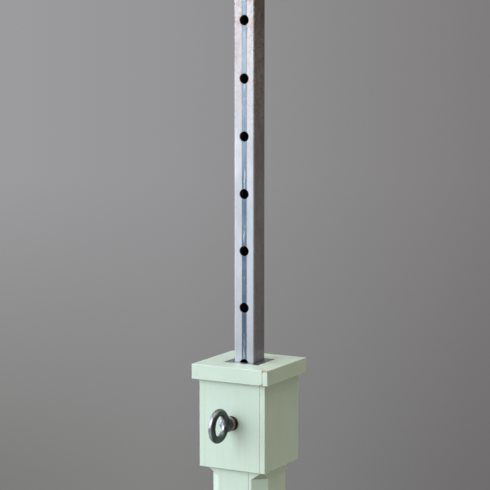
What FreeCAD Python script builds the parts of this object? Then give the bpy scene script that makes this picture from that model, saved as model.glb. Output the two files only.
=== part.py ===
"""A telescopic post: a square wooden post with a boxed head, and a perforated square steel tube that slides
in it. A ring bolt in the head's front screws into one of the tube's holes and locks the height.

Units are millimetres. The origin is on the floor, under the middle of the foot plate. +Z is up along the
tube, the ring bolt is on the -Y side (the front), and +X is to the right as seen from the front.
"""

import FreeCAD, Part
import math
import os
import re

import Sketcher
from FreeCAD import Placement, Rotation, Vector

# --------------------------------------------------------------------------------------------------
# Driving dimensions
# --------------------------------------------------------------------------------------------------

SIZES = {
    # Wooden post: four boards glued round a square cavity, its corners chamfered between two stops.
    "post_top": 500,
    "post_width": 55,
    "board_thick": 13.5,
    "chamfer_leg": 11,
    "foot_block": 60,
    "plug_tall": 50,
    # Boxed head: four panels round the top of the post, and a collar of four strips round the panels.
    "panel_thick": 5,
    "head_tall": 92,
    "strip_thick": 5,
    "strip_tall": 13.5,
    "pin_radius": 0.8,
    "pin_depth": 1.5,
    "pin_inset": 18,
    "head_pin_length": 12,
    "collar_pin_length": 15,
    # Foot plate, with holes for floor anchors and for the wood screws that hold the post.
    "foot_width": 160,
    "foot_thick": 6,
    "foot_corner": 8,
    "anchor_spacing": 130,
    "anchor_radius": 5.5,
    "screw_radius": 2.25,
    "screw_head_radius": 4.5,
    "screw_head_tall": 2.8,
    "screw_length": 40,
    "screw_sink": 0.2,
    # Perforated square tube.
    "tube_width": 20,
    "tube_wall": 2,
    "tube_corner": 1.5,
    "tube_length": 700,
    "tube_standout": 423.4,
    "hole_radius": 4.5,
    "hole_pitch": 50,
    "hole_count": 14,
    "hole_end": 25,
    # Plate welded to the top of the tube.
    "top_width": 100,
    "top_thick": 6,
    "top_corner": 6,
    "bolt_spacing": 76,
    "bolt_radius": 4.5,
    "weld_leg": 3,
    # Guide plate let into the top of the post, and the glide on the lower end of the tube.
    "guide_width": 34,
    "guide_thick": 3,
    "guide_gap": 0.4,
    "glide_gap": 0.3,
    "glide_tall": 12,
    "spigot_tall": 45,
    "spigot_gap": 0.1,
    "cross_pin_radius": 4,
    # Ring bolt and its captive washer. The bolt leans, so that its ring stands higher than its point.
    "bolt_drop": 49.8,
    "bolt_lean": 4,
    "ring_roll": 1.5,
    "ring_radius": 11.9,
    "ring_wire": 3.25,
    "ring_reach": 56,
    "flare_front": 46.4,
    "flare_radius": 3.2,
    "rim_front": 42.6,
    "rim_edge_radius": 6.2,
    "rim_back": 41.8,
    "rim_radius": 7.2,
    "boss_back": 39.6,
    "boss_radius": 6.8,
    "washer_front": 39.4,
    "washer_back": 38.2,
    "washer_radius": 6.7,
    "neck_radius": 3.3,
    "washer_gap": 0.1,
    "thread_front": 38,
    "thread_back": 15.3,
    "thread_radius": 4,
    "thread_pitch": 1.25,
    "thread_count": 17,
    "thread_deep": 0.6,
    "tip_back": 10.3,
    "tip_radius": 2.75,
    "tip_edge": 0.6,
    # Threaded insert, square to the face; only its bore leans with the bolt.
    "insert_drop": 50.2,
    "insert_radius": 5.8,
    "insert_gap": 0.05,
    "insert_bore_gap": 0.08,
    "flange_radius": 6.5,
    "flange_thick": 1.2,
}

# The side boards, panels and strips run the full depth; those at the front and back fit between them.
SIDES = {"left": -1, "right": 1}
ENDS = {"front": -1, "back": 1}
FAR = 200                       # long enough to cut right through any board
CHAMFER_TURNS = (45, 135, 225, 315)

doc = FreeCAD.newDocument("TelescopicPost")
sheet = doc.addObject("Spreadsheet::Sheet", "Sizes")
for row, (alias, value) in enumerate(SIZES.items(), start=1):
    sheet.set(f"A{row}", alias)
    sheet.set(f"B{row}", str(value))
    sheet.setAlias(f"B{row}", alias)
doc.recompute()

sub_parts = []


def size(words):
    """Turns an expression written with bare aliases into one that reads the sheet."""
    return re.sub("[a-z_]+", lambda word: f"Sizes.{word[0]}" if word[0] in SIZES else word[0], words)


def keep(obj, label):
    """Names a finished sub-part; its label is its file's name."""
    obj.Label = label
    sub_parts.append(obj)
    return obj


def bind(obj, **expressions):
    for name, words in expressions.items():
        obj.setExpression(name, size(words))


def put(obj, x="0", y="0", z="0", rotation=Rotation()):
    obj.Placement = Placement(Vector(), rotation)
    for name, words in (("x", x), ("y", y), ("z", z)):
        obj.setExpression(f".Placement.Base.{name}", size(words))
    return obj


# --------------------------------------------------------------------------------------------------
# Part primitives and booleans
# --------------------------------------------------------------------------------------------------

ALONG_Y = Rotation(Vector(1, 0, 0), -90)      # turns a primitive's +Z axis onto +Y
ALONG_X = Rotation(Vector(0, 1, 0), 90)       # turns a primitive's +Z axis onto +X
UPRIGHT = Rotation()


def box(name, width, depth, tall, x="0", y="0", z="0"):
    """A box whose X and Y position is its centre, and whose Z position is its underside."""
    obj = doc.addObject("Part::Box", name)
    bind(obj, Length=width, Width=depth, Height=tall)
    return put(obj, f"{x} - ( {width} ) / 2", f"{y} - ( {depth} ) / 2", z)


def rod(name, radius, length, x="0", y="0", z="0", rotation=UPRIGHT):
    """A cylinder that starts at the given point."""
    obj = doc.addObject("Part::Cylinder", name)
    bind(obj, Radius=radius, Height=length)
    return put(obj, x, y, z, rotation)


def cone(name, start, end, length, x="0", y="0", z="0", rotation=UPRIGHT):
    obj = doc.addObject("Part::Cone", name)
    bind(obj, Radius1=start, Radius2=end, Height=length)
    return put(obj, x, y, z, rotation)


def group(name, pieces):
    """Separate solids side by side, such as a set of identical fasteners."""
    obj = doc.addObject("Part::Compound", name)
    obj.Links = pieces
    return obj


def join(name, pieces):
    obj = doc.addObject("Part::MultiFuse", name)
    obj.Shapes = pieces
    return obj


def cut(name, base, tools):
    obj = doc.addObject("Part::Cut", name)
    obj.Base = base
    obj.Tool = tools[0] if len(tools) == 1 else join(f"{name}_tools", tools)
    return obj


def rounded_box(name, width, depth, tall, corner, x="0", y="0", z="0"):
    """A box with its four upright edges rounded."""
    blank = box(f"{name}_blank", width, depth, tall, x, y, z)
    doc.recompute()
    upright = []
    for number, edge in enumerate(blank.Shape.Edges, start=1):
        if abs(edge.tangentAt(edge.FirstParameter).z) > 0.99:
            upright.append((number, corner, corner))
    obj = doc.addObject("Part::Fillet", name)
    obj.Base = blank
    obj.Edges = upright
    return obj


# --------------------------------------------------------------------------------------------------
# PartDesign bodies
# --------------------------------------------------------------------------------------------------

def origin(body, role):
    for feature in body.Origin.OriginFeatures:
        if feature.Role == role:
            return feature


def new_body(name):
    return doc.addObject("PartDesign::Body", name)


def new_sketch(body, name, plane, lift="0"):
    """A sketch on one of the body's own origin planes, lifted along the plane's normal."""
    sketch = body.newObject("Sketcher::SketchObject", name)
    sketch.AttachmentSupport = [(origin(body, plane), "")]
    sketch.MapMode = "FlatFace"
    sketch.setExpression(".AttachmentOffset.Base.z", size(lift))
    return sketch


def measure(sketch, kind, value, words, *where):
    """Adds one dimension to a sketch, driven by an expression."""
    index = sketch.addConstraint(Sketcher.Constraint(kind, *where, value))
    sketch.setExpression(f"Constraints[{index}]", size(words))


def draw_square(sketch, words):
    """A square centred on the sketch's origin."""
    half = 5.0
    first = sketch.GeometryCount
    corners = [Vector(-half, -half), Vector(half, -half), Vector(half, half), Vector(-half, half)]
    for start, end in zip(corners, corners[1:] + corners[:1]):
        sketch.addGeometry(Part.LineSegment(start, end), False)
    for side in range(4):
        sketch.addConstraint(Sketcher.Constraint("Coincident", first + side, 2, first + (side + 1) % 4, 1))
    for side in (0, 2):
        sketch.addConstraint(Sketcher.Constraint("Horizontal", first + side))
        sketch.addConstraint(Sketcher.Constraint("Vertical", first + side + 1))
    sketch.addConstraint(Sketcher.Constraint("Symmetric", first, 1, first + 1, 2, -1, 1))
    measure(sketch, "DistanceX", 2 * half, words, first, 1, first, 2)
    measure(sketch, "DistanceY", 2 * half, words, first + 1, 1, first + 1, 2)


def draw_circle(sketch, radius, up=None):
    """A circle on the sketch's upright axis, at its origin unless a height is given."""
    index = sketch.addGeometry(Part.Circle(Vector(0, 5.0 if up else 0, 0), Vector(0, 0, 1), 2.0), False)
    if up:
        sketch.addConstraint(Sketcher.Constraint("PointOnObject", index, 3, -2))
        measure(sketch, "DistanceY", 5.0, up, -1, 1, index, 3)
    else:
        sketch.addConstraint(Sketcher.Constraint("Coincident", index, 3, -1, 1))
    measure(sketch, "Radius", 2.0, radius, index)


def pad(body, name, sketch, length):
    obj = body.newObject("PartDesign::Pad", name)
    obj.Profile = sketch
    bind(obj, Length=length)
    return obj


def pocket_both_ways(body, name, sketch):
    """Cuts the sketch's outline right through the body, on both sides of the sketch."""
    obj = body.newObject("PartDesign::Pocket", name)
    obj.Profile = sketch
    obj.SideType = "Symmetric"
    obj.Length = FAR
    return obj


def repeat(body, name, feature, role, length, count):
    obj = body.newObject("PartDesign::LinearPattern", name)
    obj.Originals = [feature]
    obj.Direction = (origin(body, role), [""])
    bind(obj, Length=length, Occurrences=count)
    body.Tip = obj
    return obj


def round_uprights(body, name, feature, half_width, radius):
    """Rounds the upright edges that stand at the given distance from both middle planes."""
    doc.recompute()
    edges = []
    for number, edge in enumerate(feature.Shape.Edges, start=1):
        middle = edge.CenterOfMass
        at_corner = abs(abs(middle.x) - half_width) < 0.01 and abs(abs(middle.y) - half_width) < 0.01
        if at_corner:
            edges.append(f"Edge{number}")
    obj = body.newObject("PartDesign::Fillet", name)
    obj.Base = (feature, edges)
    bind(obj, Radius=radius)
    return obj


# --------------------------------------------------------------------------------------------------
# Tools that cut several boards
# --------------------------------------------------------------------------------------------------

CAVITY = "( post_width - 2 * board_thick )"
HEAD_WIDTH = "( post_width + 2 * panel_thick )"
COLLAR_WIDTH = "( post_width + 2 * panel_thick + 2 * strip_thick )"
HEAD_FOOT = "( post_top - head_tall )"
INSERT_HEIGHT = "( post_top - insert_drop )"
CHAMFER_DEPTH = "( chamfer_leg / sqrt(2) )"
BLOCK_TOP = "( foot_thick + foot_block )"
OUTSIDE = 2.0                   # how far the chamfer cutters stand out past the corner


def chamfer_cutter(turn):
    """Cuts one corner of the post off at 45 degrees, with a sloping stop at each end."""
    obj = doc.addObject("Part::Wedge", f"chamfer_cutter_{turn}")
    angle = math.radians(turn - 90)
    across = round(math.cos(angle) * math.sqrt(2))
    along = round(math.sin(angle) * math.sqrt(2))
    obj.Xmin = obj.X2min = -2 * SIZES["chamfer_leg"]
    obj.Xmax = obj.X2max = 2 * SIZES["chamfer_leg"]
    obj.Ymin = -OUTSIDE
    bind(
        obj,
        Ymax=CHAMFER_DEPTH,
        Zmin=f"{BLOCK_TOP} - {OUTSIDE}",
        Zmax=f"{HEAD_FOOT} + {OUTSIDE}",
        Z2min=f"{BLOCK_TOP} + {CHAMFER_DEPTH}",
        Z2max=f"{HEAD_FOOT} - {CHAMFER_DEPTH}",
    )
    rotation = Rotation(Vector(0, 0, 1), turn)
    return put(obj, f"{across} * post_width / 2", f"{along} * post_width / 2", "0", rotation)


def guide_recess(name):
    """The square recess in the top of the post that the guide plate lies in."""
    return box(name, "guide_width", "guide_width", "guide_thick", z="post_top - guide_thick")


def insert_bore(name):
    start = f"0 - {HEAD_WIDTH} / 2"
    return rod(name, "insert_radius + insert_gap", "2 * board_thick", "0", start, INSERT_HEIGHT, ALONG_Y)


def screw_places():
    """The foot screws stand under the middle of each board, and one stands under the plug."""
    ring = "( post_width - board_thick ) / 2"
    return {
        "plug": ("0", "0"),
        "left": (f"0 - {ring}", "0"),
        "right": (ring, "0"),
        "front": ("0", f"0 - {ring}"),
        "back": ("0", ring),
    }


def screw(place):
    """A countersunk wood screw, driven up through the foot plate."""
    x, y = screw_places()[place]
    head = cone(
        f"screw_head_{place}", "screw_head_radius", "screw_radius", "screw_head_tall", x, y, "screw_sink"
    )
    shank = rod(f"screw_shank_{place}", "screw_radius", "screw_length - 2 * screw_radius", x, y, "screw_sink")
    point_z = "screw_sink + screw_length - 2 * screw_radius"
    point = cone(
        f"screw_point_{place}", "screw_radius", "screw_radius / 8", "2 * screw_radius", x, y, point_z
    )
    return join(f"screw_{place}", [head, shank, point])


def face_pin(name, side, across, z, face, length, on_x):
    """One hidden pin, driven in square to a face of the head and set a little below it."""
    start = f"{side} * ( {face} - pin_depth )"
    run = {"x": start, "y": across} if on_x else {"x": across, "y": start}
    turn = ALONG_X if on_x else ALONG_Y
    if side > 0:
        turn = turn.inverted()
    return rod(name, "pin_radius", length, z=z, rotation=turn, **run)


def pin_set(name, face, length, heights):
    """Two pins abreast at each height, on each of the four sides; returns them by side."""
    pins = {}
    for side_name, side in {**SIDES, **ENDS}.items():
        pins[side_name] = []
        for level, z in enumerate(heights):
            for hand, across in (("a", "0 - pin_inset"), ("b", "pin_inset")):
                label = f"{name}_{side_name}_{level}{hand}"
                pins[side_name].append(face_pin(label, side, across, z, face, length, side_name in SIDES))
    return pins


chamfer_cutters = [chamfer_cutter(turn) for turn in CHAMFER_TURNS]
right_cutters = [chamfer_cutters[0], chamfer_cutters[1]]
left_cutters = [chamfer_cutters[2], chamfer_cutters[3]]
screws = {place: screw(place) for place in screw_places()}
HEAD_PIN_HEIGHTS = (f"{HEAD_FOOT} + 12", f"{HEAD_FOOT} + 64")
COLLAR_PIN_HEIGHTS = ("post_top - strip_tall / 2",)
head_pins = pin_set("head_pin", f"{HEAD_WIDTH} / 2", "head_pin_length", HEAD_PIN_HEIGHTS)
collar_pins = pin_set("collar_pin", f"{COLLAR_WIDTH} / 2", "collar_pin_length", COLLAR_PIN_HEIGHTS)
all_pins = sum(head_pins.values(), []) + sum(collar_pins.values(), [])

# --------------------------------------------------------------------------------------------------
# Wooden post; every pin of the head goes into one of the wide side boards
# --------------------------------------------------------------------------------------------------

BOARD_TALL = "post_top - foot_thick"
BOARD_MIDDLE = "( post_width - board_thick ) / 2"

for side_name, side in SIDES.items():
    blank = box(
        f"post_{side_name}_blank", "board_thick", "post_width", BOARD_TALL,
        f"{side} * {BOARD_MIDDLE}", z="foot_thick",
    )
    tools = [guide_recess(f"post_{side_name}_recess"), screws[side_name]]
    tools += left_cutters if side < 0 else right_cutters
    tools += all_pins
    keep(cut(f"post_{side_name}", blank, tools), f"post_{side_name}_board")

for end_name, end in ENDS.items():
    blank = box(
        f"post_{end_name}_blank", CAVITY, "board_thick", BOARD_TALL,
        y=f"{end} * {BOARD_MIDDLE}", z="foot_thick",
    )
    tools = [guide_recess(f"post_{end_name}_recess"), screws[end_name]]
    if end_name == "front":
        tools.append(insert_bore("post_insert_bore"))
    keep(cut(f"post_{end_name}", blank, tools), f"post_{end_name}_board")

plug_blank = box("plug_blank", CAVITY, CAVITY, "plug_tall", z="foot_thick")
keep(cut("foot_plug_cut", plug_blank, [screws["plug"]]), "foot_plug")

# --------------------------------------------------------------------------------------------------
# Boxed head and collar
# --------------------------------------------------------------------------------------------------

PANEL_MIDDLE = "( post_width + panel_thick ) / 2"
STRIP_MIDDLE = "( post_width + 2 * panel_thick + strip_thick ) / 2"
STRIP_FOOT = "post_top - strip_tall"

for side_name, side in SIDES.items():
    blank = box(
        f"panel_{side_name}_blank", "panel_thick", HEAD_WIDTH, "head_tall",
        f"{side} * {PANEL_MIDDLE}", z=HEAD_FOOT,
    )
    tools = head_pins[side_name] + collar_pins[side_name]
    keep(cut(f"panel_{side_name}", blank, tools), f"head_{side_name}_panel")

    blank = box(
        f"strip_{side_name}_blank",
        "strip_thick",
        COLLAR_WIDTH,
        "strip_tall",
        f"{side} * {STRIP_MIDDLE}",
        z=STRIP_FOOT,
    )
    keep(cut(f"strip_{side_name}", blank, collar_pins[side_name]), f"collar_{side_name}_strip")

for end_name, end in ENDS.items():
    blank = box(
        f"panel_{end_name}_blank", "post_width", "panel_thick", "head_tall",
        y=f"{end} * {PANEL_MIDDLE}", z=HEAD_FOOT,
    )
    tools = head_pins[end_name] + collar_pins[end_name]
    if end_name == "front":
        tools.append(insert_bore("panel_insert_bore"))
    keep(cut(f"panel_{end_name}", blank, tools), f"head_{end_name}_panel")

    blank = box(
        f"strip_{end_name}_blank",
        HEAD_WIDTH,
        "strip_thick",
        "strip_tall",
        y=f"{end} * {STRIP_MIDDLE}",
        z=STRIP_FOOT,
    )
    keep(cut(f"strip_{end_name}", blank, collar_pins[end_name]), f"collar_{end_name}_strip")

keep(group("head_pin_group", sum(head_pins.values(), [])), "head_pins")
keep(group("collar_pin_group", sum(collar_pins.values(), [])), "collar_pins")

# --------------------------------------------------------------------------------------------------
# Foot plate and its screws
# --------------------------------------------------------------------------------------------------

plate_blank = rounded_box("foot_blank", "foot_width", "foot_width", "foot_thick", SIZES["foot_corner"])
foot_tools = []
for side_name, side in SIDES.items():
    for end_name, end in ENDS.items():
        foot_tools.append(
            rod(
                f"anchor_hole_{side_name}_{end_name}",
                "anchor_radius",
                "foot_thick",
                f"{side} * anchor_spacing / 2",
                f"{end} * anchor_spacing / 2",
            )
        )
for place, (x, y) in screw_places().items():
    mouth = rod(f"screw_mouth_{place}", "screw_head_radius", "screw_sink", x, y)
    seat = cone(
        f"screw_seat_{place}", "screw_head_radius", "screw_radius", "screw_head_tall", x, y, "screw_sink"
    )
    hole = rod(f"screw_hole_{place}", "screw_radius", "foot_thick", x, y)
    foot_tools += [mouth, seat, hole]
keep(cut("foot_plate_cut", plate_blank, foot_tools), "foot_plate")
keep(group("screw_group", list(screws.values())), "foot_screws")

# --------------------------------------------------------------------------------------------------
# Perforated tube, with the holes through its front and back walls
# --------------------------------------------------------------------------------------------------

TUBE_FOOT = "( post_top + tube_standout - tube_length )"
TUBE_TOP = "( post_top + tube_standout )"

tube = new_body("tube_body")
section = new_sketch(tube, "tube_section", "XY_Plane")
draw_square(section, "tube_width")
draw_square(section, "tube_width - 2 * tube_wall")
tube_pad = pad(tube, "tube_pad", section, "tube_length")
round_uprights(tube, "tube_corners", tube_pad, SIZES["tube_width"] / 2, "tube_corner")
hole_sketch = new_sketch(tube, "tube_hole_outline", "XZ_Plane")
draw_circle(hole_sketch, "hole_radius", up="hole_end")
tube_hole = pocket_both_ways(tube, "tube_hole", hole_sketch)
doc.recompute()
repeat(tube, "tube_holes", tube_hole, "Z_Axis", "( hole_count - 1 ) * hole_pitch", "hole_count")
put(tube, z=TUBE_FOOT)
keep(tube, "inner_tube")

# --------------------------------------------------------------------------------------------------
# Top plate and its weld
# --------------------------------------------------------------------------------------------------

top_blank = rounded_box("top_blank", "top_width", "top_width", "top_thick", SIZES["top_corner"], z=TUBE_TOP)
top_holes = []
for side_name, side in SIDES.items():
    for end_name, end in ENDS.items():
        top_holes.append(
            rod(
                f"top_hole_{side_name}_{end_name}",
                "bolt_radius",
                "top_thick",
                f"{side} * bolt_spacing / 2",
                f"{end} * bolt_spacing / 2",
                TUBE_TOP,
            )
        )
keep(cut("top_plate_cut", top_blank, top_holes), "top_plate")

weld = doc.addObject("Part::Wedge", "weld_blank")
LOW_HALF = "tube_width / 2"
HIGH_HALF = "( tube_width / 2 + weld_leg )"
bind(
    weld,
    Xmin=f"0 - {LOW_HALF}",
    Xmax=LOW_HALF,
    Zmin=f"0 - {LOW_HALF}",
    Zmax=LOW_HALF,
    X2min=f"0 - {HIGH_HALF}",
    X2max=HIGH_HALF,
    Z2min=f"0 - {HIGH_HALF}",
    Z2max=HIGH_HALF,
    Ymin="0",
    Ymax="weld_leg",
)
put(weld, z=f"{TUBE_TOP} - weld_leg", rotation=Rotation(Vector(1, 0, 0), 90))
tube_solid = rounded_box(
    "tube_in_weld", "tube_width", "tube_width", "2 * weld_leg", SIZES["tube_corner"],
    z=f"{TUBE_TOP} - weld_leg",
)
keep(cut("weld_cut", weld, [tube_solid]), "top_weld")

# --------------------------------------------------------------------------------------------------
# Guide plate, and the glide on the tube's lower end with the pin that holds it
# --------------------------------------------------------------------------------------------------

guide = new_body("guide_body")
guide_section = new_sketch(guide, "guide_section", "XY_Plane")
draw_square(guide_section, "guide_width")
draw_square(guide_section, "tube_width + 2 * guide_gap")
pad(guide, "guide_pad", guide_section, "guide_thick")
put(guide, z="post_top - guide_thick")
keep(guide, "guide_plate")

glide = new_body("glide_body")
head_section = new_sketch(glide, "glide_head_section", "XY_Plane", "0 - glide_tall")
draw_square(head_section, f"{CAVITY} - 2 * glide_gap")
pad(glide, "glide_head", head_section, "glide_tall")
spigot_section = new_sketch(glide, "spigot_section", "XY_Plane")
draw_square(spigot_section, "tube_width - 2 * tube_wall - 2 * spigot_gap")
pad(glide, "spigot", spigot_section, "spigot_tall")
pin_hole_sketch = new_sketch(glide, "pin_hole_outline", "XZ_Plane")
draw_circle(pin_hole_sketch, "cross_pin_radius", up="hole_end")
pin_hole = pocket_both_ways(glide, "pin_hole", pin_hole_sketch)
put(glide, z=TUBE_FOOT)
keep(glide, "tube_glide")

pin_start = "0 - tube_width / 2 + spigot_gap"
pin_run = "tube_width - 2 * spigot_gap"
pin_height = f"{TUBE_FOOT} + hole_end"
keep(rod("cross_pin", "cross_pin_radius", pin_run, "0", pin_start, pin_height, ALONG_Y), "glide_pin")

# --------------------------------------------------------------------------------------------------
# Ring bolt and washer, turned about an axis that leans, and the threaded insert
# --------------------------------------------------------------------------------------------------

FACE = f"( {HEAD_WIDTH} / 2 )"


def turned(name, start, end, radius, end_radius=None):
    """One length of a turned piece, between two distances in front of the tube's axis.

    The piece's own Y axis is the bolt's axis, and its origin is where that axis meets the head's face.
    """
    y = f"{FACE} - ( {start} )"
    length = f"( {start} ) - ( {end} )"
    if end_radius is None:
        return rod(name, radius, length, "0", y, "0", ALONG_Y)
    return cone(name, radius, end_radius, length, "0", y, "0", ALONG_Y)


def lean(obj):
    """Sets a turned piece into the head's face, leaning."""
    tilt = Rotation(Vector(1, 0, 0), -SIZES["bolt_lean"])
    return put(obj, "0", f"0 - {FACE}", "post_top - bolt_drop", tilt)


ring = doc.addObject("Part::Torus", "ring")
bind(ring, Radius1="ring_radius", Radius2="ring_wire")
ring_turn = Rotation(Vector(0, 1, 0), 90 + SIZES["ring_roll"])
put(ring, y=f"{FACE} - ring_reach", rotation=ring_turn)

bolt_lengths = [
    ring,
    turned("flare", "flare_front", "rim_front", "flare_radius", "rim_edge_radius"),
    turned("rim", "rim_front", "rim_back", "rim_edge_radius", "rim_radius"),
    turned("boss", "rim_back", "boss_back", "rim_radius", "boss_radius"),
    turned("neck", "boss_back", "thread_front", "neck_radius"),
    turned("shank", "thread_front", "thread_back + thread_deep", "thread_radius"),
    turned(
        "shank_end",
        "thread_back + thread_deep",
        "thread_back",
        "thread_radius",
        "thread_radius - thread_deep",
    ),
    turned("tip", "thread_back", "tip_back + tip_edge", "tip_radius"),
    turned("tip_end", "tip_back + tip_edge", "tip_back", "tip_radius", "tip_radius - tip_edge"),
]
bolt_blank = join("bolt_blank", bolt_lengths)
grooves = []
for turn in range(SIZES["thread_count"]):
    start = f"( thread_front - thread_pitch * {turn + 0.6} )"
    middle = f"( {start} - thread_pitch / 2 )"
    root = "thread_radius - thread_deep"
    rim = turned(f"groove_rim_{turn}", start, f"{start} - thread_pitch", "rim_radius")
    near = turned(f"groove_near_{turn}", start, middle, "thread_radius", root)
    far = turned(f"groove_far_{turn}", middle, f"{start} - thread_pitch", root, "thread_radius")
    grooves.append(cut(f"groove_{turn}", rim, [near, far]))
keep(lean(cut("bolt_cut", bolt_blank, grooves)), "eye_bolt")

washer_disc = turned("washer_disc", "washer_front", "washer_back", "washer_radius")
washer_bore = turned("washer_bore", "washer_front", "washer_back", "neck_radius + washer_gap")
keep(lean(cut("washer_cut", washer_disc, [washer_bore])), "lock_washer")

FLANGE_FRONT = f"0 - {FACE} - flange_thick"
BARREL_LONG = f"( {FACE} - {CAVITY} / 2 )"
insert_blank = join(
    "insert_blank",
    [
        rod("insert_flange", "flange_radius", "flange_thick", "0", FLANGE_FRONT, INSERT_HEIGHT, ALONG_Y),
        rod("insert_barrel", "insert_radius", BARREL_LONG, "0", f"0 - {FACE}", INSERT_HEIGHT, ALONG_Y),
    ],
)
insert_drill = turned("insert_drill", "washer_front", "tip_back", "thread_radius + insert_bore_gap")
insert_hole = lean(group("insert_hole", [insert_drill]))
keep(cut("insert_cut", insert_blank, [insert_hole]), "threaded_insert")

# --------------------------------------------------------------------------------------------------
# Check and export
# --------------------------------------------------------------------------------------------------

doc.recompute()
for obj in doc.Objects:
    if "Invalid" in obj.State or "Error" in obj.State:
        raise RuntimeError(f"{obj.Label} failed: {obj.State}")
os.makedirs("parts", exist_ok=True)
for obj in sub_parts:
    shape = obj.Shape
    if shape.isNull() or not shape.isValid() or shape.Volume <= 0:
        raise RuntimeError(f"{obj.Label} has no valid shape")
for obj in sub_parts:
    obj.Shape.exportStep(f"parts/{obj.Label}.step")
    bounds = obj.Shape.BoundBox
    spans = (bounds.XMin, bounds.XMax, bounds.YMin, bounds.YMax, bounds.ZMin, bounds.ZMax)
    print(f"{obj.Label:22s} {obj.Shape.Volume:12.1f} mm3 ", " ".join(f"{span:8.2f}" for span in spans))
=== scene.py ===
"""Looks for the telescopic post: painted wood, galvanised tube, forged ring bolt, plates and weld.

Metres, in the model's own frame: +Z up, -Y the front with the ring bolt, +X to the right seen from the front.
"""

import math

import bmesh
import bpy
from mathutils import Matrix, Vector, noise


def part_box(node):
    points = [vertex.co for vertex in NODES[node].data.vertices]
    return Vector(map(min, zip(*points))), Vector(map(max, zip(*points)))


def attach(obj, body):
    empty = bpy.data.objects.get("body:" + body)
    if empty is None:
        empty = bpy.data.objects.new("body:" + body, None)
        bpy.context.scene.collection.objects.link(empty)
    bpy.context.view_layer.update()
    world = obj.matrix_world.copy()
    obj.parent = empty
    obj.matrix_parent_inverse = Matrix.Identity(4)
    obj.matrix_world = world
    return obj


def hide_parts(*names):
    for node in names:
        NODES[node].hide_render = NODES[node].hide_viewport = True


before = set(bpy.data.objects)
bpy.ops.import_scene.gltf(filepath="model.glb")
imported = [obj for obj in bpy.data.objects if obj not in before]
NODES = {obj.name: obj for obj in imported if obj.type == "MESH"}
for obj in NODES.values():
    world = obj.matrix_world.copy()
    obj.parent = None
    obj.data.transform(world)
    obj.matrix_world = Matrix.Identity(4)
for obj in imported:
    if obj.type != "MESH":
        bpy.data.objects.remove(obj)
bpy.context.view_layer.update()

MM = 0.001
SIDES = ("left", "right", "front", "back")
BOARDS = [f"post_{side}_board" for side in SIDES]
PANELS = [f"head_{side}_panel" for side in SIDES]
STRIPS = [f"collar_{side}_strip" for side in SIDES]

# --------------------------------------------------------------------------------------------------
# Material graphs
# --------------------------------------------------------------------------------------------------


def srgb(red, green, blue):
    """A colour named by its 0-255 screen values, as the linear values that shaders use."""
    out = []
    for value in (red, green, blue):
        c = value / 255
        out.append(c / 12.92 if c <= 0.04045 else ((c + 0.055) / 1.055) ** 2.4)
    return (*out, 1.0)


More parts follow.
